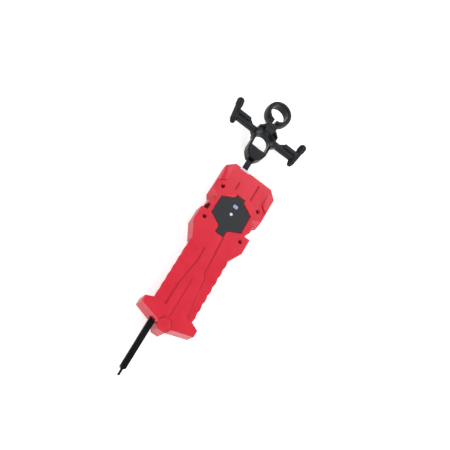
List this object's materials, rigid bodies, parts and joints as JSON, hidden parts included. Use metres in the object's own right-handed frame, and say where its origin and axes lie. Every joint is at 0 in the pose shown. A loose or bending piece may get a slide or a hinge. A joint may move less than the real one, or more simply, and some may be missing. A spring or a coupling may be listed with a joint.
{
  "type": "spinning top launcher",
  "caption": "Hand launcher for spinning tops: a flat casing with a waved grip and guard, and a toothed rip cord with a ring handle that turns a geared rotor with two prongs.",
  "frame": {"origin": "on the spindle axis, in the plane of the collar's rim under the head", "axes": "+Z out of the front face, +Y along the casing towards the pull ring, +X across the casing"},
  "size_m": [0.0834, 0.3101, 0.0283],
  "materials": {
    "red_plastic": "moulded, softly glossy",
    "black_plastic": "moulded, satin",
    "charcoal_plastic": "fine texture",
    "white_plastic": "moulded",
    "lavender_plastic": "moulded",
    "nylon": "moulded, waxy",
    "steel": "plated",
    "dark_steel": "blackened",
    "brass": "turned"
  },
  "bodies": {
    "casing": {"upper_casing": "red_plastic", "lower_casing": "red_plastic", "badge_plate": "charcoal_plastic", "badge_cap": "white_plastic", "badge_bar": "lavender_plastic", "head_screws": "dark_steel", "grip_screws": "dark_steel", "guard_nub": "red_plastic", "mouth_guide": "white_plastic", "bow_spring": "steel", "upper_bush": "brass", "lower_bush": "brass"},
    "spindle": {"spindle_shaft": "steel", "drive_gear": "nylon", "thrust_washer": "steel", "shaft_clip": "steel", "prong_rotor": "black_plastic", "keeper_ring": "steel", "plunger_spring": "steel"},
    "plunger_pin": {"plunger": "white_plastic"},
    "pull_handle": {"rip_cord": "black_plastic", "handle_frame": "black_plastic", "handle_pins": "steel", "pull_ring": "black_plastic", "ring_pin": "steel"}
  },
  "joints": [
    {"name": "cord_slide", "type": "slide", "parent": "casing", "child": "pull_handle", "axis": [0, 1, 0], "range_m": [-0.013, 0.225]},
    {"name": "spindle_spin", "type": "hinge", "parent": "casing", "child": "spindle", "pos_m": [0, 0, 0], "axis": [0, 0, 1], "continuous": true},
    {"name": "plunger_slide", "type": "slide", "parent": "spindle", "child": "plunger_pin", "axis": [0, 0, 1], "range_m": [0, 0.0022], "stiffness_N_per_m": 300, "springref_m": -0.002, "deforming": ["plunger_spring"]}
  ],
  "couplings": [
    {"joint": "spindle_spin", "follows": "cord_slide", "rad_per_m": -125}
  ]
}
